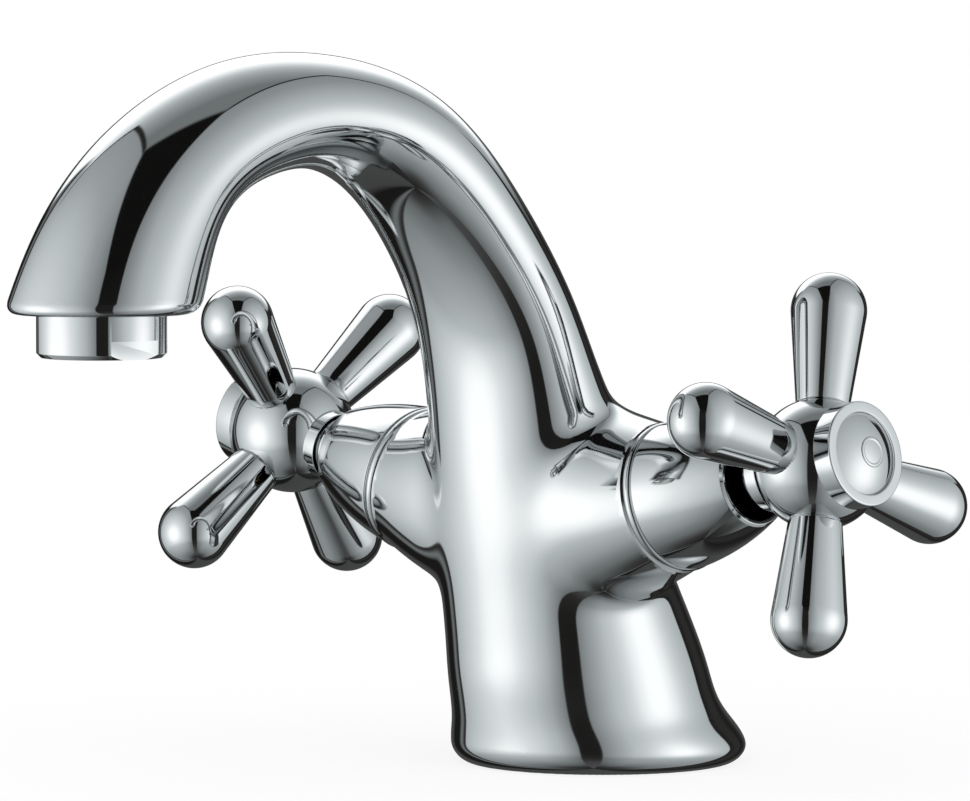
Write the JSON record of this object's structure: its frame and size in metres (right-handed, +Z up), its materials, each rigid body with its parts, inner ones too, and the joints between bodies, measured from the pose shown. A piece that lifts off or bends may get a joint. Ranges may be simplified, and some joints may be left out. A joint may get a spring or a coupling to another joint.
{
  "type": "basin mixer tap",
  "caption": "Deck mounted basin mixer tap with an arched swan neck spout, an aerator and a cross handle on a bell shroud at each side, over ceramic disc valves.",
  "frame": {"origin": "centre of the foot on the deck, at the plane of the foot's underside", "axes": "+Z up, the spout points to -Y, the cold handle is on +X and the hot handle on -X"},
  "size_m": [0.1788, 0.1847, 0.1467],
  "materials": {
    "chrome": "bright chrome plate on polished brass",
    "brass": "turned brass, unplated",
    "ceramic": "lapped alumina ceramic",
    "rubber": "black EPDM rubber",
    "plastic": "moulded acetal",
    "steel": "plain stainless steel"
  },
  "bodies": {
    "tap": {"mixer_body": "chrome", "base_gasket": "rubber", "aerator_housing": "chrome", "aerator_insert": "plastic", "aerator_screen": "plastic", "aerator_seal": "rubber", "cold_lip_seal": "rubber", "cold_fixed_disc": "ceramic", "cold_cartridge_body": "brass", "cold_cartridge_o_ring": "rubber", "cold_thrust_washer": "plastic", "cold_shroud": "chrome", "cold_shroud_seal": "rubber", "hot_lip_seal": "rubber", "hot_fixed_disc": "ceramic", "hot_cartridge_body": "brass", "hot_cartridge_o_ring": "rubber", "hot_thrust_washer": "plastic", "hot_shroud": "chrome", "hot_shroud_seal": "rubber"},
    "cold_handle": {"cold_moving_disc": "ceramic", "cold_spindle": "brass", "cold_spindle_o_rings": "rubber", "cold_spindle_clip": "steel", "cold_handle_hub": "chrome", "cold_handle_spokes": "chrome", "cold_index_ring": "chrome", "cold_index_button": "chrome", "cold_handle_screw": "steel"},
    "hot_handle": {"hot_moving_disc": "ceramic", "hot_spindle": "brass", "hot_spindle_o_rings": "rubber", "hot_spindle_clip": "steel", "hot_handle_hub": "chrome", "hot_handle_spokes": "chrome", "hot_index_ring": "chrome", "hot_index_button": "chrome", "hot_handle_screw": "steel"}
  },
  "joints": [
    {"name": "cold_handle_turn", "type": "hinge", "parent": "tap", "child": "cold_handle", "pos_m": [0, -0.0156, 0.0492], "axis": [-0.9767, 0, -0.2147], "range_deg": [0, 90]},
    {"name": "hot_handle_turn", "type": "hinge", "parent": "tap", "child": "hot_handle", "pos_m": [0, -0.0156, 0.0492], "axis": [-0.9767, 0, 0.2147], "range_deg": [0, 90]}
  ]
}
